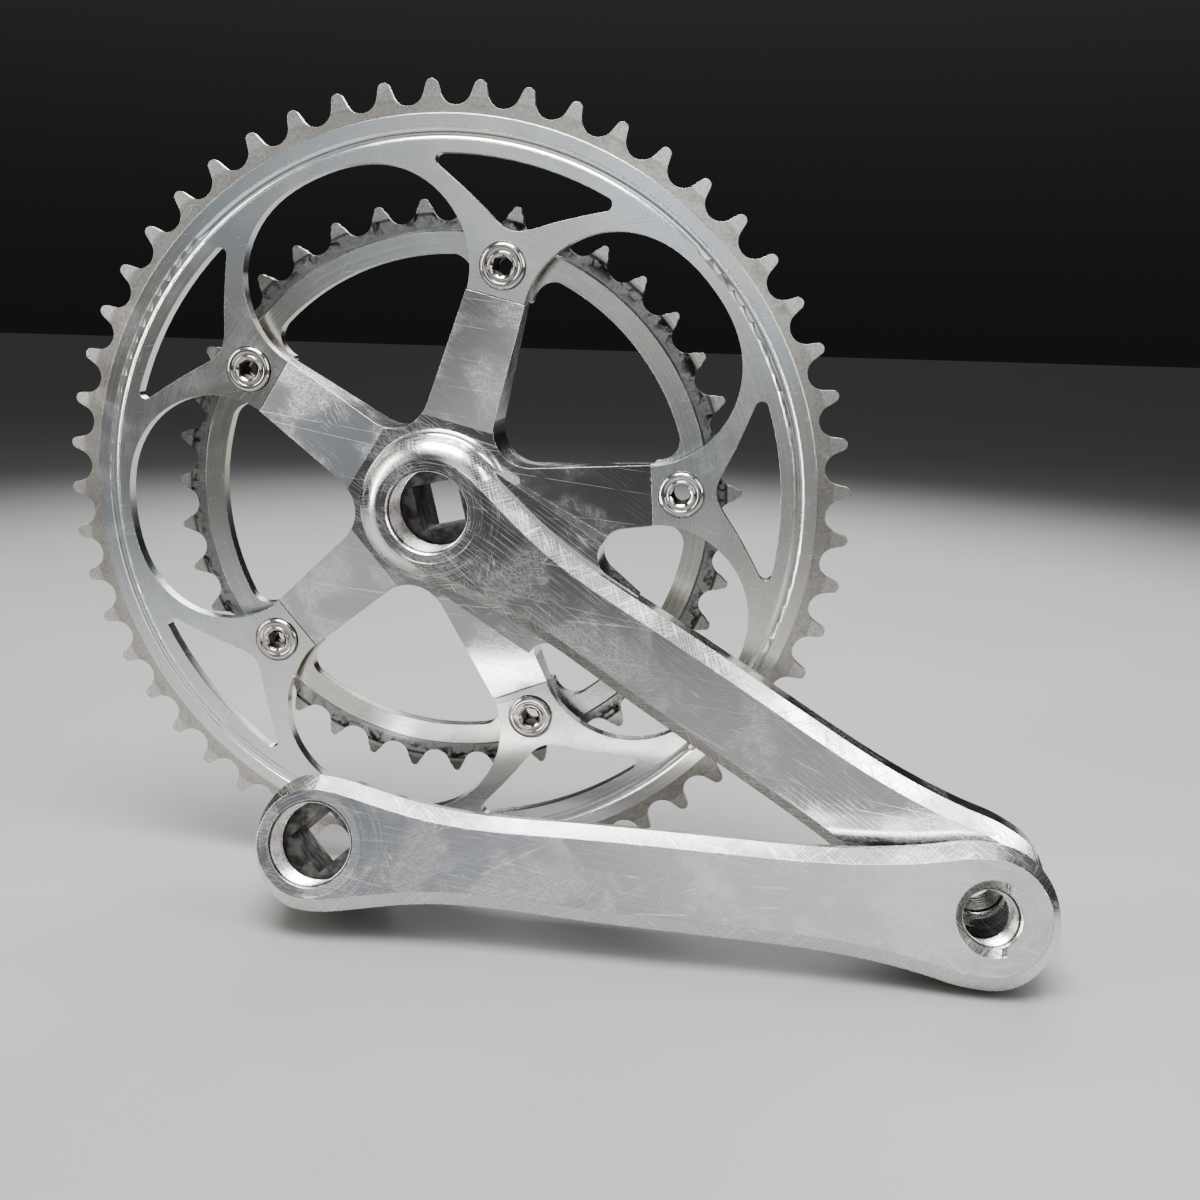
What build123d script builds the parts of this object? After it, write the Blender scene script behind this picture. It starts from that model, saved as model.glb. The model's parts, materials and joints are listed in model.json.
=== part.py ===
from build123d import *

import os
from math import cos, hypot, pi, radians, sin, tan

# Bicycle crankset: a drive-side crank with its five-arm spider and two chainrings, standing upright,
# and the loose left crank standing in front of it. The crank axis is Y, and outboard is -Y.
# Lengths are millimetres and angles are degrees, counted from +X towards +Z.

# ---------------------------------------------------------------- driving dimensions
chain_pitch = 12.7
outer_teeth = 53
inner_teeth = 39
bolt_count = 5
bolt_circle_radius = 65.0
first_bolt_angle = 4.2

arm_length = 172.5
arm_angle = first_bolt_angle - 180 / bolt_count
arm_rise = 7.0
bore_face_height = 19.3

# Where the loose left crank stands: its bore's face, the way its arm runs and the way its bore faces.
left_bore_face = (-25.1, -44.0, -84.0)
left_arm_direction = (0.99825, 0.03911, -0.04452)
left_bore_direction = (0.05102, -0.9490, 0.31116)

# Heights are counted outboard from the front face of the outer chainring.
outer_ring_back = -3.5
inner_ring_front = -6.5
inner_ring_back = -9.9
hub_depth = 33.0

# teeth
gullet_radius = 4.4
gullet_offset = 0.4
outer_tip_rise = 2.5
inner_tip_rise = 1.9
outer_tip_half_width = 1.5
inner_tip_half_width = 1.15
tip_rounding = 1.1
outer_tooth_angle = 3.7
inner_tooth_angle = 3.3

# spider
spider_root_height = 9.0
spider_root_radius = 23.0
ring_seat_radius = 56.8
arm_half_width_root = 9.9
arm_half_width_tip = 7.9
crotch_fillet = 10.0

# crank blade, measured on its front face
blade_thickness = 12.5
bevel_depth = 3.6
bore_end_radius = 14.0
pedal_end_radius = 14.2
waist_half_width = 8.4

# interfaces
left_boss_radius = 15.6
extractor_radius = 11.0
extractor_depth = 12.5
pedal_hole_radius = 7.14
taper_flats = 12.6
taper_angle = 2.0
sleeve_radius = 5.0
sleeve_clearance = 0.05
bolt_head_seat = -1.2
bolt_head_radius = 6.05
thread_radius = 3.95
back_edge_radius = 2.5
root_half_width = waist_half_width + bevel_depth
pin_radius = 1.8
pin_circle_radius = 99.3
pin_height = 7.0

os.makedirs("parts", exist_ok=True)

# Planes: Plane.XZ faces outboard, and section_plane holds (radius, height) profiles.
section_plane = Plane(origin=(0, 0, 0), x_dir=(1, 0, 0), z_dir=(0, 0, -1))
bolt_angles = [first_bolt_angle + i * 360 / bolt_count for i in range(bolt_count)]


def polar(radius, angle):
    """Point at a radius and an angle in degrees."""
    return (radius * cos(radians(angle)), radius * sin(radians(angle)))


def beside(radial, tangential, angle):
    """Point given along and across a spoke that lies at an angle in degrees."""
    along = polar(radial, angle)
    across = polar(tangential, angle + 90)
    return (along[0] + across[0], along[1] + across[1])


def spoke_plane(angle):
    """Plane through the crank axis and a spoke, holding (radius, height) profiles."""
    direction = polar(1, angle)
    return Plane(
        origin=(0, 0, 0),
        x_dir=(direction[0], 0, direction[1]),
        z_dir=(direction[1], 0, -direction[0]),
    )


def toothed_disc(teeth, first_angle, tip_rise, tip_half_width):
    """Outline of a chainring: round gullets between narrow, worn teeth with round tips."""
    pitch_radius = chain_pitch / (2 * sin(pi / teeth))
    step = 360 / teeth
    centre_radius = pitch_radius + gullet_offset
    centre_across, centre_along = polar(centre_radius, 90 - step / 2)
    flank_foot = (
        centre_across - gullet_radius * cos(radians(10)),
        centre_along - gullet_radius * sin(radians(10)),
    )
    tip = pitch_radius + tip_rise
    with BuildSketch() as disc:
        with BuildLine():
            for tooth in range(teeth):
                angle = first_angle + tooth * step
                foot = beside(flank_foot[1], -flank_foot[0], angle)
                shoulder = beside(tip - tip_rounding, -tip_half_width, angle)
                shoulder_end = beside(tip - tip_rounding, tip_half_width, angle)
                foot_end = beside(flank_foot[1], flank_foot[0], angle)
                gullet = polar(centre_radius - gullet_radius, angle + step / 2)
                next_foot = beside(flank_foot[1], -flank_foot[0], angle + step)
                Line(foot, shoulder)
                ThreePointArc(shoulder, polar(tip, angle), shoulder_end)
                Line(shoulder_end, foot_end)
                ThreePointArc(foot_end, gullet, next_foot)
        make_face()
    return disc.sketch


outer_disc = toothed_disc(outer_teeth, outer_tooth_angle, outer_tip_rise, outer_tip_half_width)
inner_disc = toothed_disc(inner_teeth, inner_tooth_angle, inner_tip_rise, inner_tip_half_width)

# ---------------------------------------------------------------- outer chainring
tooth_zone_radius = 101.0
groove_radius = 96.2
groove_half_width = 1.5
groove_depth = 0.75
window_arc_radius = 91.5

with BuildPart() as outer_chainring:
    with BuildSketch(section_plane):
        with BuildLine():
            groove_start = (groove_radius - groove_half_width, 0)
            groove_end = (groove_radius + groove_half_width, 0)
            ThreePointArc(groove_start, (groove_radius, -groove_depth), groove_end)
            Polyline(
                groove_end,
                (tooth_zone_radius, 0),
                (tooth_zone_radius + 0.2, -0.35),
                (106, -0.7),
                (111, -1.3),
                (111, -2.4),
                (106, -2.9),
                (tooth_zone_radius, -2.9),
                (tooth_zone_radius - 0.6, outer_ring_back),
                (50, outer_ring_back),
                (50, 0),
                groove_start,
            )
        make_face()
    revolve(axis=Axis.Y)
    with BuildSketch(Plane.XZ.offset(-20)):
        add(outer_disc)
        # The inner opening: a tab at each bolt and a tall round arch between two tabs.
        with BuildLine():
            for angle in bolt_angles:
                middle = angle + 180 / bolt_count
                start = beside(ring_seat_radius + 0.2, 8.0, angle)
                end = beside(ring_seat_radius + 0.2, -8.0, angle + 360 / bolt_count)
                Line(beside(ring_seat_radius + 0.2, -8.0, angle), start)
                Spline(
                    start,
                    polar(66.0, middle - 27.8),
                    polar(75.4, middle - 24.7),
                    polar(84.0, middle - 19.2),
                    polar(90.0, middle - 11.4),
                    polar(92.0, middle),
                    polar(90.0, middle + 11.4),
                    polar(84.0, middle + 19.2),
                    polar(75.4, middle + 24.7),
                    polar(66.0, middle + 27.8),
                    end,
                )
        make_face(mode=Mode.SUBTRACT)
        for angle in bolt_angles:
            # The three-sided window outside each bolt.
            with BuildSketch(mode=Mode.PRIVATE) as window:
                with BuildLine():
                    left = beside(87.2, 27.7, angle)
                    right = beside(87.2, -27.7, angle)
                    ThreePointArc(left, polar(window_arc_radius, angle), right)
                    Spline(
                        right,
                        beside(83.1, -18.3, angle),
                        beside(77.8, -8.2, angle),
                        beside(74.3, 0, angle),
                        beside(77.8, 8.2, angle),
                        beside(83.1, 18.3, angle),
                        left,
                    )
                make_face()
                fillet(window.vertices(), radius=1.8)
            add(window.sketch, mode=Mode.SUBTRACT)
        with PolarLocations(bolt_circle_radius, bolt_count, start_angle=first_bolt_angle):
            Circle(sleeve_radius + sleeve_clearance, mode=Mode.SUBTRACT)
        with Locations(polar(pin_circle_radius, arm_angle)):
            Circle(pin_radius - 0.6, mode=Mode.SUBTRACT)
    extrude(amount=40, mode=Mode.INTERSECT)
    with BuildSketch(Plane.XZ.offset(bolt_head_seat)):
        with PolarLocations(bolt_circle_radius, bolt_count, start_angle=first_bolt_angle):
            Circle(bolt_head_radius + 0.3)
    extrude(amount=5, mode=Mode.SUBTRACT)
outer_chainring.part.label = "outer_chainring"

# ---------------------------------------------------------------- inner chainring
with BuildPart() as inner_chainring:
    with BuildSketch(section_plane):
        with BuildLine():
            Polyline(
                (50, inner_ring_front),
                (72.0, inner_ring_front),
                (72.6, inner_ring_front - 0.9),
                (78.0, inner_ring_front - 1.0),
                (82.0, inner_ring_front - 1.5),
                (82.0, inner_ring_back + 0.5),
                (78.0, inner_ring_back),
                (50, inner_ring_back),
                close=True,
            )
        make_face()
    revolve(axis=Axis.Y)
    with BuildSketch(Plane.XZ.offset(-20)):
        add(inner_disc)
        with BuildSketch(mode=Mode.PRIVATE) as opening:
            Circle(66.4)
            for angle in bolt_angles:
                with BuildLine():
                    Polyline(
                        beside(57.5, -8.8, angle),
                        beside(57.5, 8.8, angle),
                        beside(70, 8.8, angle),
                        beside(70, -8.8, angle),
                        close=True,
                    )
                make_face(mode=Mode.SUBTRACT)
            corners = opening.vertices().filter_by(lambda v: hypot(v.X, v.Y) > 66)
            fillet(corners, radius=5.5)
            foot_corners = opening.vertices().filter_by(lambda v: hypot(v.X, v.Y) < 59)
            fillet(foot_corners, radius=1.0)
        add(opening.sketch, mode=Mode.SUBTRACT)
        with PolarLocations(bolt_circle_radius, bolt_count, start_angle=first_bolt_angle):
            Circle(sleeve_radius + sleeve_clearance, mode=Mode.SUBTRACT)
    extrude(amount=40, mode=Mode.INTERSECT)
inner_chainring.part.label = "inner_chainring"


# ---------------------------------------------------------------- shapes shared by both cranks
def blade_face(seat):
    """Plane of a blade's front face, which rises from the bore to the pedal end."""
    return Plane(
        origin=seat.origin,
        x_dir=seat.x_dir * arm_length + seat.z_dir * arm_rise,
        z_dir=seat.z_dir * arm_length - seat.x_dir * arm_rise,
    )


def blade_blank(seat):
    """A crank's blade, with flat bevels along its front face and rounded back edges."""
    face = blade_face(seat)
    length = hypot(arm_length, arm_rise)
    bore_end = bore_end_radius + bevel_depth
    pedal_end = pedal_end_radius + bevel_depth
    waist = waist_half_width + bevel_depth
    with BuildPart() as blank:
        with BuildSketch(face.offset(-blade_thickness)):
            with BuildLine():
                upper = Spline(
                    (0, bore_end),
                    (12, bore_end - 1.6),
                    (30, waist + 0.6),
                    (65, waist),
                    (115, waist + 0.4),
                    (145, waist + 1.8),
                    (160, waist + 4.2),
                    (length, pedal_end),
                    tangents=((1, 0), (1, 0)),
                )
                ThreePointArc(upper @ 1, (length + pedal_end, 0), (length, -pedal_end))
                mirror(upper, about=Plane.XZ)
                ThreePointArc((0, -bore_end), (-bore_end, 0), upper @ 0)
            make_face()
        extrude(amount=blade_thickness)
        front = blank.edges().filter_by(lambda e: abs(face.to_local_coords(e.center()).Z) < 0.01)
        chamfer(front, length=bevel_depth)
        back = blank.edges().filter_by(
            lambda e: abs(face.to_local_coords(e.center()).Z + blade_thickness) < 0.01
        )
        fillet(back, radius=back_edge_radius)
        with BuildSketch(face.offset(-blade_thickness)):
            side = root_half_width + 6
            Ellipse(bore_end_radius + 0.5, side)
            with Locations((length, 0)):
                Ellipse(pedal_end_radius + 2.2, side)
            with Locations((length / 2, 0)):
                Rectangle(length, 2 * side)
        extrude(amount=blade_thickness, mode=Mode.INTERSECT)
    return blank.part


def crank_openings(seat):
    """The holes of one crank: extractor thread, square taper and pedal thread, as solids to cut away."""
    pedal_seat = seat.offset(arm_rise)
    pedal_seat.origin += seat.x_dir * arm_length
    with BuildPart() as holes:
        with BuildSketch(seat):
            Circle(bore_end_radius - 0.4)
        extrude(amount=5)
        with BuildSketch(seat.offset(-extractor_depth)):
            Circle(extractor_radius)
        extrude(amount=extractor_depth + 1)
        with Locations(seat.offset(-0.4).location):
            Cone(extractor_radius, extractor_radius + 0.5, 0.5, align=(Align.CENTER, Align.CENTER, Align.MIN))
        with BuildSketch(seat.offset(-extractor_depth)):
            Rectangle(taper_flats, taper_flats, rotation=45)
        extrude(amount=-(hub_depth - extractor_depth + 1), taper=-taper_angle)
        with BuildSketch(pedal_seat.offset(-30)):
            Circle(pedal_hole_radius)
        extrude(amount=40)
        with Locations(pedal_seat.offset(-2.2).location):
            Cone(pedal_hole_radius, pedal_hole_radius + 2.3, 2.3,
                 align=(Align.CENTER, Align.CENTER, Align.MIN))
    return holes.part


right_seat = Plane(
    origin=(0, -bore_face_height, 0),
    x_dir=(cos(radians(arm_angle)), 0, sin(radians(arm_angle))),
    z_dir=(0, -1, 0),
)
left_seat = Plane(origin=left_bore_face, x_dir=left_arm_direction, z_dir=left_bore_direction)
right_blade = blade_blank(right_seat)
left_blade = blade_blank(left_seat)
right_openings = crank_openings(right_seat)
left_openings = crank_openings(left_seat)

# ---------------------------------------------------------------- drive-side crank and spider, one forging
with BuildPart() as spider:
    for angle in bolt_angles:
        with BuildSketch(spoke_plane(angle)):
            with BuildLine():
                Polyline(
                    (0, inner_ring_front),
                    (0, spider_root_height),
                    (spider_root_radius, spider_root_height),
                    (ring_seat_radius, 0),
                    (ring_seat_radius, outer_ring_back),
                    (80, outer_ring_back),
                    (80, inner_ring_front),
                    close=True,
                )
            make_face()
        extrude(amount=14, both=True)
    with BuildSketch(spoke_plane(arm_angle)):
        with BuildLine():
            Polyline(
                (0, inner_ring_front),
                (0, 14),
                (58, 15),
                (58, 10),
                (40, -2),
                (34, inner_ring_front),
                close=True,
            )
        make_face()
    extrude(amount=root_half_width + 6, both=True)
    with BuildSketch(Plane.XZ.offset(-20)):
        with BuildSketch(mode=Mode.PRIVATE) as plan:
            Circle(14)
            for angle in bolt_angles:
                with BuildLine():
                    Polyline(
                        (0, 0),
                        beside(10, -arm_half_width_root, angle),
                        beside(bolt_circle_radius, -arm_half_width_tip, angle),
                        beside(bolt_circle_radius, arm_half_width_tip, angle),
                        beside(10, arm_half_width_root, angle),
                        close=True,
                    )
                make_face()
            with BuildLine():
                Polyline(
                    beside(0, -root_half_width, arm_angle),
                    beside(70, -root_half_width, arm_angle),
                    beside(70, root_half_width, arm_angle),
                    beside(0, root_half_width, arm_angle),
                    close=True,
                )
            make_face()
            crotches = plan.vertices().filter_by(lambda v: 15.5 < hypot(v.X, v.Y) < 20)
            fillet(crotches, radius=crotch_fillet)
            web_corners = plan.vertices().filter_by(lambda v: 30 < hypot(v.X, v.Y) < 37)
            fillet(web_corners, radius=5.5)
            with PolarLocations(bolt_circle_radius, bolt_count, start_angle=first_bolt_angle):
                Circle(arm_half_width_tip)
        add(plan.sketch)
    extrude(amount=50, mode=Mode.INTERSECT)

with BuildPart() as right_crank_arm:
    add(spider.part)
    with BuildSketch(section_plane):
        with BuildLine():
            hub_back = bore_face_height - hub_depth
            shoulder = Line((21.0, spider_root_height - 0.5), (20.2, spider_root_height + 1.0))
            crown = ThreePointArc(shoulder @ 1, (18.6, 16.2), (bore_end_radius, bore_face_height))
            Polyline(
                crown @ 1,
                (0, bore_face_height),
                (0, hub_back),
                (15.5, hub_back),
                (16.8, hub_back + 1.3),
                (17.6, inner_ring_front - 1),
                (20.0, inner_ring_front + 1.5),
                shoulder @ 0,
            )
        make_face()
    revolve(axis=Axis.Y)
    add(right_blade)
    add(right_openings, mode=Mode.SUBTRACT)
    with BuildSketch(Plane.XZ.offset(-20)):
        with PolarLocations(bolt_circle_radius, bolt_count, start_angle=first_bolt_angle):
            Circle(sleeve_radius + sleeve_clearance)
    extrude(amount=20, mode=Mode.SUBTRACT)
right_crank_arm.part.label = "right_crank_arm"

# ---------------------------------------------------------------- left crank
left_side_plane = Plane(origin=left_seat.origin, x_dir=left_seat.x_dir, z_dir=-left_seat.y_dir)

with BuildPart() as left_crank_arm:
    with BuildSketch(left_side_plane):
        with BuildLine():
            Polyline((0, -8), (0, -24), (12, -24), (52, -9), (52, -6), (0, -6), close=True)
        make_face()
    extrude(amount=root_half_width - 1.5, both=True)
    with BuildSketch(left_seat.offset(-hub_depth)):
        Circle(left_boss_radius)
    extrude(amount=hub_depth - bevel_depth - 1)
    back_rim = left_crank_arm.edges().filter_by(
        lambda e: abs(left_seat.to_local_coords(e.center()).Z + hub_depth) < 0.01
    )
    chamfer(back_rim, length=1.5)
    add(left_blade)
    add(left_openings, mode=Mode.SUBTRACT)
left_crank_arm.part.label = "left_crank_arm"

# ---------------------------------------------------------------- chainring bolts and sleeve nuts
fasteners = []
for number, angle in enumerate(bolt_angles, start=1):
    centre = polar(bolt_circle_radius, angle)
    axis_point = (centre[0], 0, centre[1])
    bolt_axis = Axis(axis_point, (0, 1, 0))
    profile_plane = Plane(origin=axis_point, x_dir=(1, 0, 0), z_dir=(0, 0, -1))
    with BuildPart() as bolt:
        with BuildSketch(profile_plane):
            with BuildLine():
                Line((2.4, 0.5), (2.4, -7.5))
                Line((2.4, -7.5), (thread_radius - 0.4, -7.5))
                Line((thread_radius - 0.4, -7.5), (thread_radius, -7.1))
                Line((thread_radius, -7.1), (thread_radius, bolt_head_seat))
                Line((thread_radius, bolt_head_seat), (bolt_head_radius, bolt_head_seat))
                Line((bolt_head_radius, bolt_head_seat), (bolt_head_radius, 0))
                ThreePointArc((bolt_head_radius, 0), (5.45, 0.95), (4.3, 0.75))
                ThreePointArc((4.3, 0.75), (4.0, 0.65), (3.8, 0.85))
                ThreePointArc((3.8, 0.85), (3.4, 1.15), (3.0, 0.95))
                Line((3.0, 0.95), (2.4, 0.5))
            make_face()
        revolve(axis=bolt_axis)
        with BuildSketch(Plane(origin=axis_point, x_dir=(1, 0, 0), z_dir=(0, -1, 0)).offset(-5.5)):
            RegularPolygon(radius=2.5, side_count=6, major_radius=False, rotation=angle)
        extrude(amount=8, mode=Mode.SUBTRACT)
    bolt.part.label = f"chainring_bolt_{number}"
    fasteners.append(bolt)
    with BuildPart() as nut:
        with BuildSketch(profile_plane):
            with BuildLine():
                Polyline(
                    (thread_radius + 0.05, bolt_head_seat - 0.15),
                    (sleeve_radius, bolt_head_seat - 0.15),
                    (sleeve_radius, inner_ring_back),
                    (6.2, inner_ring_back),
                    (6.2, inner_ring_back - 0.8),
                    (5.8, inner_ring_back - 1.2),
                    (thread_radius + 0.05, inner_ring_back - 1.2),
                    close=True,
                )
            make_face()
        revolve(axis=bolt_axis)
        slot_plane = Plane(origin=axis_point, x_dir=(1, 0, 0), z_dir=(0, 1, 0))
        with BuildSketch(slot_plane.offset(-inner_ring_back + 0.5)):
            Rectangle(14, 2.6, rotation=-angle)
        extrude(amount=3, mode=Mode.SUBTRACT)
    nut.part.label = f"chainring_nut_{number}"
    fasteners.append(nut)

# ---------------------------------------------------------------- pin that stops a dropped chain
pin_centre = polar(pin_circle_radius, arm_angle)
pin_base = Plane(origin=(pin_centre[0], 0, pin_centre[1]), x_dir=(1, 0, 0), z_dir=(0, -1, 0))
with BuildPart() as chain_drop_pin:
    with BuildSketch(pin_base):
        Circle(pin_radius)
    extrude(amount=pin_height)
    rim = chain_drop_pin.edges().filter_by(lambda e: e.center().Y < -pin_height + 0.01)
    fillet(rim, radius=0.6)
    with BuildSketch(pin_base):
        Circle(pin_radius - 0.6)
    extrude(amount=outer_ring_back)
chain_drop_pin.part.label = "chain_drop_pin"

# ---------------------------------------------------------------- one STEP file for each piece
pieces = [right_crank_arm, left_crank_arm, outer_chainring, inner_chainring, chain_drop_pin, *fasteners]
for piece in pieces:
    export_step(piece.part, f"parts/{piece.part.label}.step")
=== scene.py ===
import json
from math import cos, radians, sin, tau

import bpy
from mathutils import Matrix, Vector


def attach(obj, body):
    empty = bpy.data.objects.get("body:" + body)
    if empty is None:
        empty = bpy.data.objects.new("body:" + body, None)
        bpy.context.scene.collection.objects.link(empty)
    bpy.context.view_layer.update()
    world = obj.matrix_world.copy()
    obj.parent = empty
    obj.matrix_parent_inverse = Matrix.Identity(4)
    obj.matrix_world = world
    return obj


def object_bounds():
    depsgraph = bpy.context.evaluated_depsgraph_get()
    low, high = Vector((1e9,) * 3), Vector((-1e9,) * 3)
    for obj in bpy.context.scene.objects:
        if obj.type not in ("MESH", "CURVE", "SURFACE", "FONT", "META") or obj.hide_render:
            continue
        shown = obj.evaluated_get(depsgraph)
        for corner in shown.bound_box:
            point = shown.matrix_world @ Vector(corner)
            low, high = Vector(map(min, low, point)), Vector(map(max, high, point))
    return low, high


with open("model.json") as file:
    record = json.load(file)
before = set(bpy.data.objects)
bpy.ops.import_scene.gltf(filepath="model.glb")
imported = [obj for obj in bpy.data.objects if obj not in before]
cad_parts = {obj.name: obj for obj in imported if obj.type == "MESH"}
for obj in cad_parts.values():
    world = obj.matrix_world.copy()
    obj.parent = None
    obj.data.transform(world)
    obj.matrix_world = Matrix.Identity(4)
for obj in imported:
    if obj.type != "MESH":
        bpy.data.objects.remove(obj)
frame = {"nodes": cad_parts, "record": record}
cad_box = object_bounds()
nodes = frame["nodes"]
mounts = {m["name"]: m for m in frame["record"]["mounts"]}

# A crankset of scratched, polished alloy. Lengths inside a material are millimetres, places are metres.
mm = 0.001
ROW_X = Vector((1, 0, 0))
ROW_Y = Vector((0, 1, 0))
ROW_Z = Vector((0, 0, 1))
OUTBOARD = -ROW_Y
ON_AXIS = Vector((0, 0, 0))

CRANK_LENGTH = 172.5
BORE_RADIUS = mounts["right_extractor_thread"]["dims"]["r_mm"]
BORE_DEPTH = 12.5
THREAD_MIDDLE_DEPTH = 6.45
EXTRACTOR_PITCH = 1.0
PEDAL_PITCH = 1.27

# dark brown of old grease and painted shade deep in the bores
GREASE_AND_SHADE = (0.11, 0.095, 0.08)
FRESH_SCRATCH = (0.97, 0.965, 0.95)

# ---------------------------------------------------------------- camera
CAMERA_PLACE = Vector((0.08505, -0.33396, 0.05063))
CAMERA_AIM = Vector((-0.12018, 0.96804, -0.22012))
CAMERA_UP = Vector((-0.05326, 0.21512, 0.97513))

camera = bpy.data.objects.new("camera", bpy.data.cameras.new("camera"))
bpy.context.collection.objects.link(camera)
bpy.context.scene.camera = camera
side_axis = CAMERA_AIM.cross(CAMERA_UP).normalized()
turn = Matrix((side_axis, side_axis.cross(CAMERA_AIM), -CAMERA_AIM)).transposed()
camera.matrix_world = Matrix.Translation(CAMERA_PLACE) @ turn.to_4x4()
camera.data.sensor_width = 36
camera.data.lens = 37.55
camera.data.clip_start = 0.01
camera.data.clip_end = 50
bpy.context.scene.view_settings.look = "AgX - High Contrast"


# ---------------------------------------------------------------- node helpers
class Shader:
    """A node tree of a material or world, with short calls for the nodes used here."""

    def __init__(self, owner, surface="Principled BSDF"):
        owner.use_nodes = True
        self.material = owner
        self.tree = owner.node_tree
        self.surface = self.tree.nodes[surface]

    def node(self, kind, values=(), **settings):
        made = self.tree.nodes.new("ShaderNode" + kind)
        for key, value in settings.items():
            setattr(made, key, value)
        for key, value in dict(values).items():
            if isinstance(value, bpy.types.NodeSocket):
                self.tree.links.new(value, made.inputs[key])
            elif value is not None:
                made.inputs[key].default_value = value
        return made

    def set(self, key, value):
        if isinstance(value, bpy.types.NodeSocket):
            self.tree.links.new(value, self.surface.inputs[key])
        else:
            self.surface.inputs[key].default_value = value

    def math(self, operation, a, b=None):
        return self.node("Math", {0: a, 1: b}, operation=operation).outputs[0]

    def between(self, value, low, high, to_low=0.0, to_high=1.0):
        """A smooth step of value from low to high, given as to_low to to_high."""
        made = self.node(
            "MapRange",
            {"Value": value, "From Min": low, "From Max": high, "To Min": to_low, "To Max": to_high},
            interpolation_type="SMOOTHSTEP",
        )
        return made.outputs["Result"]

    def mix(self, factor, a, b):
        made = self.node("Mix", data_type="RGBA")
        for key, value in ((0, factor), (6, a), (7, b)):
            if isinstance(value, bpy.types.NodeSocket):
                self.tree.links.new(value, made.inputs[key])
            else:
                made.inputs[key].default_value = value if key == 0 else (*value, 1)
        return made.outputs[2]

    def noise(self, vector, scale, detail=2.0, roughness=0.5, distortion=0.0):
        values = {"Vector": vector, "Scale": scale, "Detail": detail,
                  "Roughness": roughness, "Distortion": distortion}
        return self.node("TexNoise", values).outputs["Fac"]

    def stretched(self, vector, angle, along, across, shift=0.0):
        """The vector turned about its third axis, then scaled along and across."""
        turned = self.node("Mapping", {
            "Vector": vector,
            "Location": (shift, shift * 0.7, 0),
            "Rotation": (0, 0, radians(angle)),
        }).outputs[0]
        return self.node("Mapping", {"Vector": turned, "Scale": (along, across, across)}).outputs[0]

    def scratches(self, vector, angle, across, width, shift, worn, low=0.45):
        """Thin straight lines at an angle, 1 on a line and 0 off it, only where worn is above low.

        They are the edges of long flat cells: across is how many there are in a millimetre, and width is a
        line's share of a cell.
        """
        slenderness = 42
        fade = 0.16
        cells = self.stretched(vector, angle, across / slenderness, across, shift)
        edge = self.node("TexVoronoi", {"Vector": cells, "Scale": 1.0}, feature="DISTANCE_TO_EDGE",
                         voronoi_dimensions="2D").outputs["Distance"]
        return self.math("MULTIPLY", self.between(edge, 0.0, width, 1.0, 0.0),
                         self.between(worn, low, low + fade))

    def dot(self, vector, axis):
        return self.node("VectorMath", {0: vector, 1: axis}, operation="DOT_PRODUCT").outputs["Value"]

    def facing(self, way):
        """How far the surface faces a way, from -1 to 1."""
        return self.dot(self.node("TexCoord").outputs["Normal"], way)

    def place(self, origin=ON_AXIS, along=ROW_X, across=ROW_Z, out=OUTBOARD):
        """Position in millimetres in a frame of its own, whole and as its three parts."""
        position = self.node("TexCoord").outputs["Object"]
        local = self.node("VectorMath", {0: position, 1: origin}, operation="SUBTRACT").outputs[0]
        parts = [self.math("MULTIPLY", self.dot(local, axis), 1 / mm) for axis in (along, across, out)]
        return self.node("CombineXYZ", dict(enumerate(parts))).outputs[0], parts

    def polar(self, x, y):
        """Radius and angle of a point in a plane."""
        squares = [self.math("MULTIPLY", part, part) for part in (x, y)]
        return self.math("SQRT", self.add_up(squares)), self.math("ARCTAN2", y, x)

    def round_noise(self, radius, angle, fineness, reach, detail, roughness):
        """Noise drawn out along circles: fineness across them, and reach along them."""
        vector = self.node("CombineXYZ", {
            0: self.math("MULTIPLY", radius, fineness),
            1: self.math("MULTIPLY", angle, reach),
        }).outputs[0]
        return self.noise(vector, 1.0, detail, roughness)

    def add_up(self, values):
        total = values[0]
        for value in values[1:]:
            total = self.math("ADD", total, value)
        return total

    def weighed(self, *pairs):
        """Sum of each value times its weight."""
        return self.add_up([self.math("MULTIPLY", value, weight) for value, weight in pairs])

    def at_most_one(self, values):
        return self.math("MINIMUM", self.add_up(values), 1.0)

    def normal(self, height, distance, bevel):
        """Bump of a distance in millimetres, over edges softened by a bevel."""
        soft = self.node("Bevel", {"Radius": bevel * mm}, samples=4).outputs[0]
        bump = self.node("Bump", {
            "Height": height, "Strength": 1.0, "Distance": distance * mm, "Normal": soft,
        })
        self.set("Normal", bump.outputs[0])


def crank_frame(side):
    """Bore centre, the way along the arm, across it and out of its face."""
    bore = mounts[side + "_extractor_thread"]
    pedal = mounts[side + "_pedal_thread"]
    out = Vector(bore["axis"]).normalized()
    origin = Vector(bore["pos_m"]) + out * THREAD_MIDDLE_DEPTH * mm
    reach = Vector(pedal["pos_m"]) - origin
    along = (reach - out * reach.dot(out)).normalized()
    return origin, along, out.cross(along), out


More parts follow.
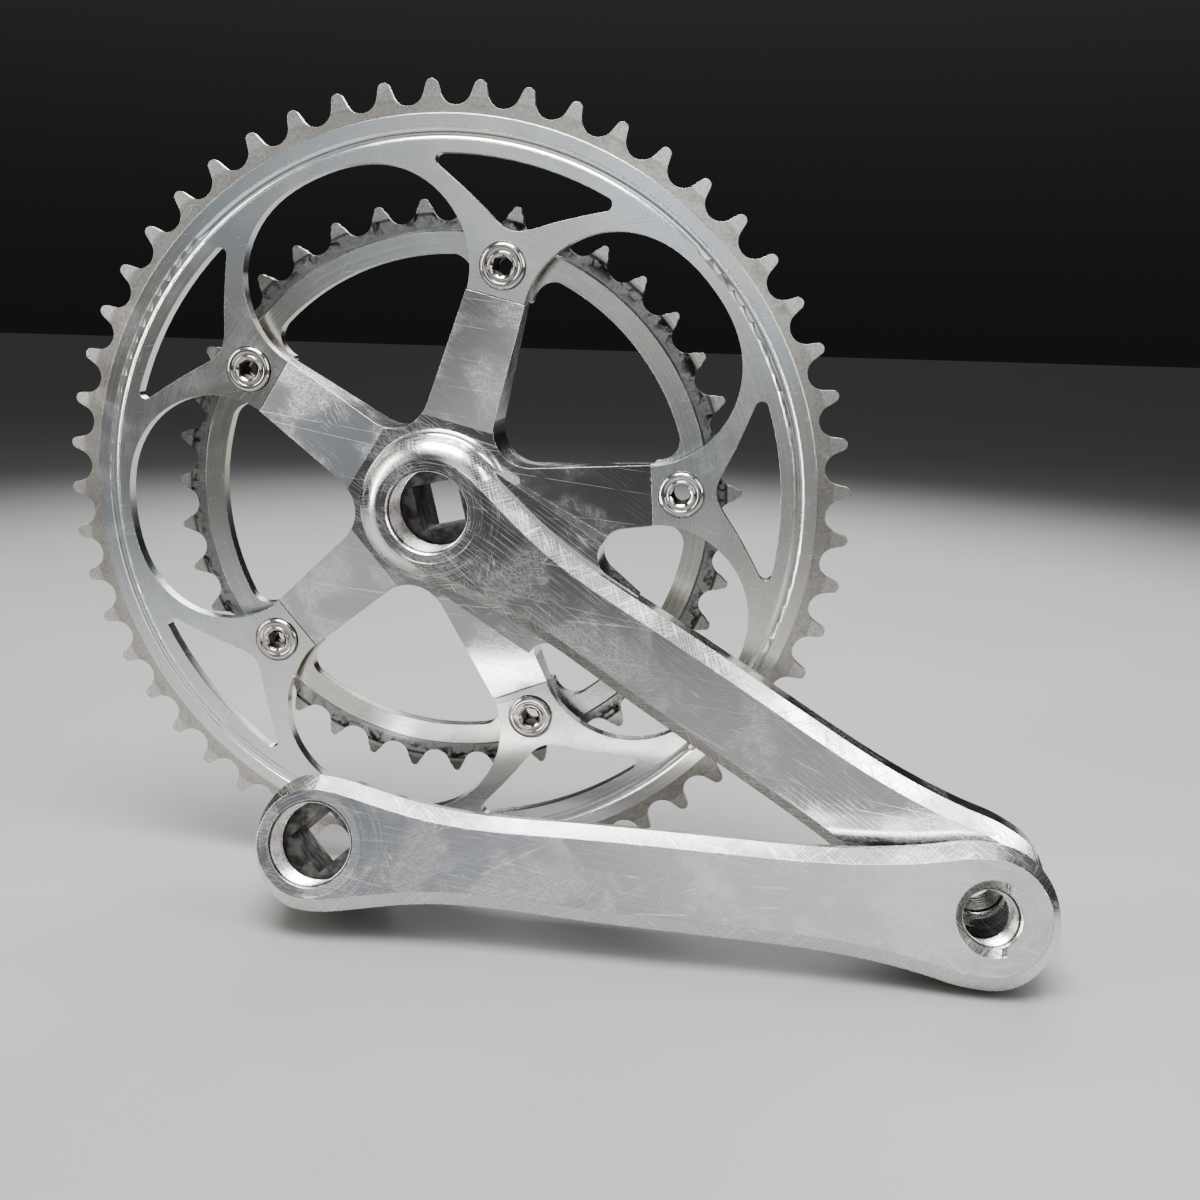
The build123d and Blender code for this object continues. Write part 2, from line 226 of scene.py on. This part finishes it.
# ---------------------------------------------------------------- polished, worn crank alloy
def arm_alloy(side):
    shader = Shader(bpy.data.materials.new(side + "_arm_polished_alloy"))
    origin, along, across, out = crank_frame(side)
    place, (s, w, n) = shader.place(origin, along, across, out)
    facing = shader.facing(out)
    rising = shader.facing(ROW_Z)
    front = shader.between(facing, 0.9, 0.98)
    blade = shader.between(facing, 0.985, 0.995, 0.22, 1.0)
    sides = shader.between(facing, 0.25, 0.55)
    bevel = shader.math("MULTIPLY", shader.between(facing, 0.35, 0.6), shader.between(facing, 0.97, 0.88))
    pedal_radius, pedal_turn = shader.polar(shader.math("SUBTRACT", s, CRANK_LENGTH), w)
    bore_radius, bore_turn = shader.polar(s, w)

    # haze where the polish has worn, in soft rounded patches of crossed rubbing
    rubbed = shader.between(shader.noise(place, 0.055, 4.0, 0.6, 0.4), 0.44, 0.60)
    weave = shader.math("MAXIMUM", *[
        shader.noise(shader.stretched(place, angle, 0.35, 3.2), 1.0, 2.0, 0.6) for angle in (38, -33)])
    haze = shader.math("MULTIPLY", rubbed, shader.between(weave, 0.48, 0.66, 0.35, 1.0))
    speckle = shader.noise(place, 1.6, 4.0, 0.7)
    fine = shader.noise(shader.stretched(place, 0, 0.03, 5.0), 1.0, 3.0, 0.6)

    # scratches: long ones along the arm, and shorter ones every other way, thickest where it is most worn
    worn = shader.noise(place, 0.07, 3.0, 0.6)
    other = shader.math("SUBTRACT", 1.0, worn)
    along_arm = shader.scratches(place, 3, 0.80, 0.044, 0.0, worn, 0.38)
    crossing = shader.scratches(place, -24, 0.13, 0.010, 61.0, other, 0.38)
    fan = [
        shader.scratches(place, angle, spread, 0.022, shift, patch, 0.50)
        for angle, spread, shift, patch in (
            (28, 0.80, 5.0, worn), (-36, 0.95, 11.0, other), (64, 0.75, 23.0, worn), (-72, 0.85, 31.0, other),
        )
    ]
    scuffs = shader.at_most_one([along_arm, *fan])
    # swirls left round the pedal hole and the bore by the pedals and spanners
    swirls = []
    for radius, angle, reach in ((pedal_radius, pedal_turn, 27.0), (bore_radius, bore_turn, 26.0)):
        lines = shader.between(shader.round_noise(radius, angle, 3.2, 1.1, 2.0, 0.65), 0.53, 0.60)
        near = shader.between(radius, reach * 0.6, reach, 1.0, 0.0)
        swirls.append(shader.math("MULTIPLY", lines, near))
    swirl = shader.math("MULTIPLY", shader.math("MAXIMUM", *swirls), front)
    # the bevels carry dense short cross-hatching from shoes and chain, and the sides little
    hatch = shader.math("MAXIMUM", shader.scratches(place, 38, 1.5, 0.09, 71.0, worn, 0.30),
                        shader.scratches(place, -44, 1.3, 0.09, 83.0, other, 0.32))
    marks = shader.at_most_one([
        shader.math("MULTIPLY", scuffs, shader.math("MULTIPLY", sides, blade)),
        shader.math("MULTIPLY", swirl, 0.6),
        shader.math("MULTIPLY", hatch, bevel),
        shader.math("MULTIPLY", crossing, sides),
    ])

    # painted shade, mottled with old grease, that deepens towards the floor of the bore and down the square
    # hole
    deep_bore_shade = shader.math("MULTIPLY", shader.between(bore_radius, BORE_RADIUS + 0.3, BORE_RADIUS),
                          shader.between(n, 3.0 - BORE_DEPTH, 0.1 - BORE_DEPTH))
    smear = shader.between(shader.noise(place, 0.35, 3.0, 0.55), 0.35, 0.7, 0.45, 1.0)
    grime_and_shade = shader.math("MULTIPLY", deep_bore_shade, smear)

    face = shader.mix(haze, (0.48, 0.48, 0.49), (0.74, 0.735, 0.73))
    bright = shader.mix(front, (0.84, 0.835, 0.825), face)
    # painted shade: surfaces that face down are darkened to a brown grey
    shaded_underside = shader.mix(shader.between(rising, -0.30, -0.62, 0.0, 0.85), bright, (0.40, 0.375, 0.345))
    toned = shader.mix(shader.math("MULTIPLY", marks, 0.6), shaded_underside, FRESH_SCRATCH)
    specked = shader.mix(shader.between(speckle, 0.58, 0.72, 0.0, 0.35), toned, (0.46, 0.45, 0.44))
    # the deep bore is painted dark with shade and old grease
    shader.set("Base Color", shader.mix(shader.math("MULTIPLY", grime_and_shade, 0.85), specked, GREASE_AND_SHADE))
    rough = shader.weighed((haze, 0.15), (marks, 0.15), (fine, 0.08), (grime_and_shade, 0.2))
    shader.set("Roughness", shader.math("ADD", rough, 0.13))
    shader.set("Metallic", 1.0)
    cuts = shader.math("ADD", shader.math("MAXIMUM", along_arm, fan[0]), crossing)
    height = shader.math("SUBTRACT", shader.math("MULTIPLY", fine, 0.3), cuts)
    shader.normal(shader.math("MULTIPLY", height, sides), 0.006, bevel=0.3)
    return shader.material


def thread_alloy():
    """Cut threads: bright crests over roots painted dark with shade and old grease, told apart by the mesh's
    crest values.
    """
    shader = Shader(bpy.data.materials.new("thread_alloy"))
    place, _ = shader.place()
    crest = shader.node("Attribute", attribute_name="crest").outputs["Fac"]
    smear = shader.noise(place, 0.5, 4.0, 0.65, 0.5)
    speckle = shader.noise(place, 3.0, 3.0, 0.7)
    # painted shade and grease: the roots of the thread are dark brown, the crests bright metal
    base = shader.mix(shader.between(crest, 0.25, 0.8), (0.10, 0.088, 0.075), (0.86, 0.85, 0.83))
    base = shader.mix(shader.between(smear, 0.50, 0.68, 0.0, 0.6), base, (0.30, 0.27, 0.235))
    base = shader.mix(shader.between(speckle, 0.55, 0.7, 0.0, 0.4), base, (0.30, 0.28, 0.25))
    shader.set("Base Color", base)
    shader.set("Roughness", shader.between(smear, 0.3, 0.7, 0.20, 0.42))
    shader.set("Metallic", 1.0)
    bump = shader.node("Bump", {"Height": speckle, "Strength": 0.6, "Distance": 0.01 * mm})
    shader.set("Normal", bump.outputs[0])
    return shader.material


# ---------------------------------------------------------------- turned and brushed chainring alloy
def ring_alloy(name, tone, root_tone, tooth_tone, tooth_radius, root_radius, grime_amount):
    """Turned faces, a duller zone outside tooth_radius, and teeth of their own tone outside root_radius."""
    shader = Shader(bpy.data.materials.new(name))
    place, (x, y, _) = shader.place()
    radius, angle = shader.polar(x, y)
    flat = shader.between(shader.math("ABSOLUTE", shader.facing(OUTBOARD)), 0.55, 0.8)
    lines = shader.round_noise(radius, angle, 4.6, 1.3, 3.0, 0.7)
    faint = shader.round_noise(radius, angle, 1.1, 0.9, 3.0, 0.7)
    turned = shader.math("MULTIPLY", lines, flat)
    blotch = shader.noise(place, 0.045, 4.0, 0.6, 0.5)
    speckle = shader.noise(place, 1.3, 6.0, 0.72)
    pitting = shader.noise(place, 3.4, 3.0, 0.8)
    worn = shader.math("SUBTRACT", 1.0, blotch)
    scuffs = [
        shader.scratches(place, turn_by, spread, 0.020, shift, patch, 0.52)
        for turn_by, spread, shift, patch in ((17, 0.30, 3.0, blotch), (-52, 0.26, 19.0, worn),
                                              (81, 0.34, 37.0, blotch), (-12, 0.24, 53.0, worn))
    ]
    marks = shader.math("MULTIPLY", shader.at_most_one(scuffs), flat)
    rub_lines = shader.math("MULTIPLY", shader.between(faint, 0.63, 0.68), flat)

    # the edges of the zones wander a little
    wander = shader.math("ADD", radius, shader.math("MULTIPLY", blotch, 0.8))
    below_teeth = shader.between(radius, tooth_radius - 0.1, tooth_radius + 0.1)
    teeth = shader.between(wander, root_radius, root_radius + 0.5)
    grime_noise = shader.between(shader.noise(place, 0.30, 5.0, 0.66, 0.6), 0.46, 0.60)
    tide = shader.math("MULTIPLY", shader.between(wander, root_radius - 0.8, root_radius - 0.1),
                       shader.between(wander, root_radius + 0.7, root_radius + 0.1))
    root = shader.math("MULTIPLY", shader.between(radius, tooth_radius, root_radius - 1.2),
                       shader.between(wander, root_radius + 0.6, root_radius))
    caked = shader.math("MAXIMUM", shader.math("MULTIPLY", root, grime_noise),
                        shader.math("MULTIPLY", tide, 0.7))
    grime_and_shade = shader.math("MULTIPLY", caked, grime_amount)

    cool = tuple(c * f for c, f in zip(tone, (0.95, 1.0, 1.03)))
    warm = tuple(c * f for c, f in zip(tone, (1.02, 0.995, 0.94)))
    base = shader.mix(shader.between(shader.noise(place, 0.016, 2.0), 0.40, 0.60), cool, warm)
    base = shader.mix(shader.between(blotch, 0.40, 0.62, 0.0, 0.5), base, tuple(c * 0.84 for c in tone))
    base = shader.mix(shader.between(turned, 0.40, 0.70, 0.0, 0.55), base, (0.95, 0.95, 0.94))
    base = shader.mix(below_teeth, base, root_tone)
    base = shader.mix(teeth, base, tooth_tone)
    mottle = shader.math("MULTIPLY", shader.between(speckle, 0.42, 0.66),
                         shader.math("MULTIPLY", below_teeth, 0.5))
    base = shader.mix(mottle, base, tuple(c * 0.55 for c in root_tone))
    base = shader.mix(shader.math("MULTIPLY", marks, 0.5), base, (0.93, 0.93, 0.92))
    base = shader.mix(shader.between(pitting, 0.60, 0.72, 0.0, 0.45), base, (0.40, 0.39, 0.37))
    shader.set("Base Color", shader.mix(grime_and_shade, base, (0.04, 0.034, 0.03)))
    dulled = shader.between(blotch, 0.4, 0.7)
    rough = shader.weighed((lines, 0.14), (below_teeth, 0.06), (marks, 0.10), (dulled, 0.08), (grime_and_shade, 0.35))
    shader.set("Roughness", shader.math("ADD", rough, 0.16))
    shader.set("Metallic", 1.0)
    shader.set("Anisotropic", 0.35)
    height = shader.weighed((turned, 0.6), (marks, -0.6), (rub_lines, -0.4), (speckle, 0.25), (grime_and_shade, 0.8))
    shader.normal(height, 0.012, bevel=0.15)
    return shader.material


# ---------------------------------------------------------------- plated steel of the fasteners
def plated_steel(name, tone, polish, shade_and_grime_depth):
    """Bright plate, darkened by painted shade and brown grime where the surface lies further inboard than the
    depth given in millimetres.

    polish is its roughness where it is clean and unscratched.
    """
    shader = Shader(bpy.data.materials.new(name))
    place, (_, _, out) = shader.place()
    speckle = shader.noise(place, 2.2, 5.0, 0.7)
    smear = shader.noise(place, 0.5, 3.0, 0.6, 0.6)
    deep_shade_and_grime = shader.math("MULTIPLY", shader.between(out, -shade_and_grime_depth, -shade_and_grime_depth - 0.5),
                       shader.between(smear, 0.25, 0.6, 0.55, 1.0))
    marks = shader.math("MAXIMUM", shader.scratches(place, 25, 1.6, 0.06, 3.0, smear),
                        shader.scratches(place, -63, 1.6, 0.06, 13.0, smear))
    base = shader.mix(shader.between(speckle, 0.58, 0.72, 0.0, 0.5), tone, (0.42, 0.39, 0.35))
    base = shader.mix(shader.math("MULTIPLY", marks, 0.4), base, (0.93, 0.92, 0.90))
    # painted shade and brown grime on what lies further inboard
    shader.set("Base Color", shader.mix(deep_shade_and_grime, base, (0.11, 0.088, 0.068)))
    rough = shader.weighed((smear, 0.10), (marks, 0.12), (deep_shade_and_grime, 0.30))
    shader.set("Roughness", shader.math("ADD", rough, polish))
    shader.set("Metallic", 1.0)
    height = shader.math("SUBTRACT", shader.math("MULTIPLY", speckle, 0.3), marks)
    shader.normal(height, 0.003, bevel=0.1)
    return shader.material


def paint(obj, material):
    obj.data.materials.clear()
    obj.data.materials.append(material)


for side in ("right", "left"):
    paint(nodes[side + "_crank_arm"], arm_alloy(side))
outer_alloy = ring_alloy(
    "outer_ring_satin_alloy",
    tone=(0.84, 0.845, 0.84),
    root_tone=(0.62, 0.60, 0.56),
    tooth_tone=(0.72, 0.70, 0.67),
    tooth_radius=101.0,
    root_radius=105.4,
    grime_amount=0.12,
)
inner_alloy = ring_alloy(
    "inner_ring_dull_alloy",
    tone=(0.72, 0.715, 0.68),
    root_tone=(0.45, 0.45, 0.445),
    tooth_tone=(0.60, 0.58, 0.55),
    tooth_radius=72.0,
    root_radius=77.2,
    grime_amount=0.95,
)
paint(nodes["outer_chainring"], outer_alloy)
paint(nodes["inner_chainring"], inner_alloy)
chrome = plated_steel("bolt_chrome_plate", (0.62, 0.60, 0.58), polish=0.03, shade_and_grime_depth=0.1)
nut_plate = plated_steel("nut_dull_plate", (0.60, 0.585, 0.56), polish=0.24, shade_and_grime_depth=14.0)
pin_plate = plated_steel("pin_bright_steel", (0.72, 0.71, 0.69), polish=0.16, shade_and_grime_depth=5.0)
for number in range(1, 6):
    paint(nodes[f"chainring_bolt_{number}"], chrome)
    paint(nodes[f"chainring_nut_{number}"], nut_plate)
paint(nodes["chain_drop_pin"], pin_plate)


# ---------------------------------------------------------------- screw threads inside the bores
thread_material = thread_alloy()


def thread(name, side, mount, pitch, depth, hand=1):
    """A helical ridge that stands in from the wall of a threaded hole, left-handed where hand is -1."""
    hole = mounts[f"{side}_{mount}"]
    out = Vector(hole["axis"]).normalized()
    centre = Vector(hole["pos_m"])
    first = out.orthogonal().normalized()
    second = out.cross(first)
    wall = hole["dims"]["r_mm"] * mm
    length = (hole["dims"]["length_mm"] - 1.2) * mm
    steps_per_turn = 72
    fading_steps = 20
    total = int(length / (pitch * mm) * steps_per_turn)
    points, faces = [], []
    # the ridge's section: millimetres out from the wall, and a share of the pitch along it
    sunk = 0.03
    profile = ((sunk, -0.46), (-depth, -0.07), (-depth, 0.07), (sunk, 0.46))
    for step in range(total + 1):
        angle = hand * step / steps_per_turn * tau
        radial = first * cos(angle) + second * sin(angle)
        rise = step / steps_per_turn * pitch * mm - length / 2
        fade = min(1.0, step / fading_steps, (total - step) / fading_steps)
        for stand, offset in profile:
            reach = wall + (stand if stand > 0 else stand * fade) * mm
            points.append(centre + radial * reach + out * (rise + offset * pitch * mm))
    count = len(profile)
    for step in range(total):
        for k in range(count):
            a, b = step * count + k, step * count + (k + 1) % count
            faces.append((a, b, b + count, a + count)[::hand])
    faces.append(tuple(range(count))[::-hand])
    faces.append(tuple(total * count + k for k in range(count))[::hand])
    mesh = bpy.data.meshes.new(name)
    mesh.from_pydata(points, [], faces)
    crest = mesh.attributes.new("crest", "FLOAT", "POINT")
    crest.data.foreach_set("value", [float(stand < 0) for stand, _ in profile] * (total + 1))
    obj = bpy.data.objects.new(name, mesh)
    bpy.context.collection.objects.link(obj)
    bpy.context.view_layer.update()
    paint(obj, thread_material)
    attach(obj, {"right": "drive_side", "left": "left_crank"}[side])


for side, pedal_hand in (("right", 1), ("left", -1)):
    thread(side + "_extractor_thread_ridge", side, "extractor_thread", EXTRACTOR_PITCH, 0.55)
    thread(side + "_pedal_thread_ridge", side, "pedal_thread", PEDAL_PITCH, 0.65, pedal_hand)

# ---------------------------------------------------------------- floor and studio light
FLOOR_REACH = 6.0
# the pool of light painted on the floor: its centre, where it starts to fade and where it ends, in
# millimetres
LIGHT_POOL_CENTRE = 220.0
LIGHT_POOL_EDGE = 370.0
LIGHT_POOL_END = 900.0

floor_height = cad_box[0].z - 0.1 * mm
floor_mesh = bpy.data.meshes.new("floor")
floor_corners = [(x * FLOOR_REACH, y * FLOOR_REACH, floor_height)
                 for x, y in ((-1, -1), (1, -1), (1, 1), (-1, 1))]
floor_mesh.from_pydata(floor_corners, [], [(0, 1, 2, 3)])
floor = bpy.data.objects.new("floor", floor_mesh)
bpy.context.collection.objects.link(floor)
paper = Shader(bpy.data.materials.new("pale_floor"))
paper_place, (paper_x, paper_y, _) = paper.place(across=ROW_Y, out=ROW_Z)
# a painted pool of light: pale round the object, and painted darker far off, where polished metal would only
# mirror a white sheet
from_centre, _ = paper.polar(paper_x, paper.math("SUBTRACT", paper_y, LIGHT_POOL_CENTRE))
painted_falloff = paper.between(from_centre, LIGHT_POOL_EDGE, LIGHT_POOL_END)
near_tone = paper.mix(paper.noise(paper_place, 0.01, 3.0), (0.43, 0.428, 0.425), (0.475, 0.472, 0.468))
# painted shade: the floor darkens outside the painted pool of light
paper.set("Base Color", paper.mix(painted_falloff, near_tone, (0.10, 0.10, 0.102)))
paper.set("Roughness", 0.55)
paper.surface.inputs["Specular IOR Level"].default_value = 0.3
floor_mesh.materials.append(paper.material)


def softbox(name, place, aim, width, height, power, tone=(1, 1, 1)):
    """A rectangular light, with its place, aim and size in metres and its power in watts."""
    light = bpy.data.lights.new(name, "AREA")
    light.shape = "RECTANGLE"
    light.size, light.size_y = width, height
    light.energy = power
    light.color = tone
    obj = bpy.data.objects.new(name, light)
    bpy.context.collection.objects.link(obj)
    obj.location = place
    obj.rotation_euler = (Vector(aim) - Vector(place)).to_track_quat("-Z", "Y").to_euler()


softbox("overhead_softbox", (0.0, -0.30, 0.95), (0.02, 0, -0.03), 0.7, 0.4, 8.5)
softbox("left_softbox", (-0.85, -0.45, 0.30), (0, 0, 0), 0.2, 0.8, 2.6, (1.0, 0.97, 0.93))
softbox("right_softbox", (0.9, -0.30, 0.40), (0.05, 0, -0.03), 0.15, 0.8, 2.4, (0.95, 0.97, 1.0))
softbox("back_softbox", (0.1, 0.8, 0.6), (0, 0, 0), 1.0, 0.35, 4.0)

world = bpy.data.worlds.new("studio")
bpy.context.scene.world = world
studio = Shader(world, "Background")
direction = studio.node("TexCoord").outputs["Generated"]


def panel(aim, inner, outer, tone):
    """Light from a soft round patch of the studio's walls, given by the cosines of its edges."""
    facing = studio.dot(direction, Vector(aim).normalized())
    return studio.node("VectorMath", {0: tone, "Scale": studio.between(facing, outer, inner)},
                       operation="SCALE").outputs[0]


rise = studio.node("SeparateXYZ", {0: direction}).outputs[2]
grey = studio.between(rise, -0.05, 0.9, 0.02, 0.14)
plain_walls = studio.node("CombineXYZ", {0: grey, 1: grey, 2: grey}).outputs[0]
walls = plain_walls
for patch in (
    panel((0.22, -0.88, 0.34), 0.985, 0.92, (0.50, 0.49, 0.48)),
    panel((0.0, -0.99, 0.12), 0.985, 0.90, (0.55, 0.57, 0.59)),
    panel((-0.62, -0.72, 0.30), 0.985, 0.93, (0.34, 0.36, 0.38)),
    panel((-0.88, -0.25, 0.40), 0.99, 0.93, (0.62, 0.60, 0.57)),
    panel((0.80, -0.55, 0.22), 0.99, 0.95, (0.50, 0.44, 0.46)),
    panel((0.0, -0.35, 0.94), 0.97, 0.80, (0.85, 0.85, 0.85)),
    panel((0.0, 0.50, 0.86), 0.97, 0.86, (0.45, 0.45, 0.46)),
):
    walls = studio.node("VectorMath", {0: walls, 1: patch}, operation="ADD").outputs[0]
# the patches light the object and show in its metal, and the backdrop itself stays plain
seen = studio.node("LightPath").outputs["Is Camera Ray"]
backdrop = studio.node("Mix", {0: seen, 4: walls, 5: plain_walls}, data_type="VECTOR").outputs[1]
studio.set("Color", backdrop)
studio.set("Strength", 1.0)
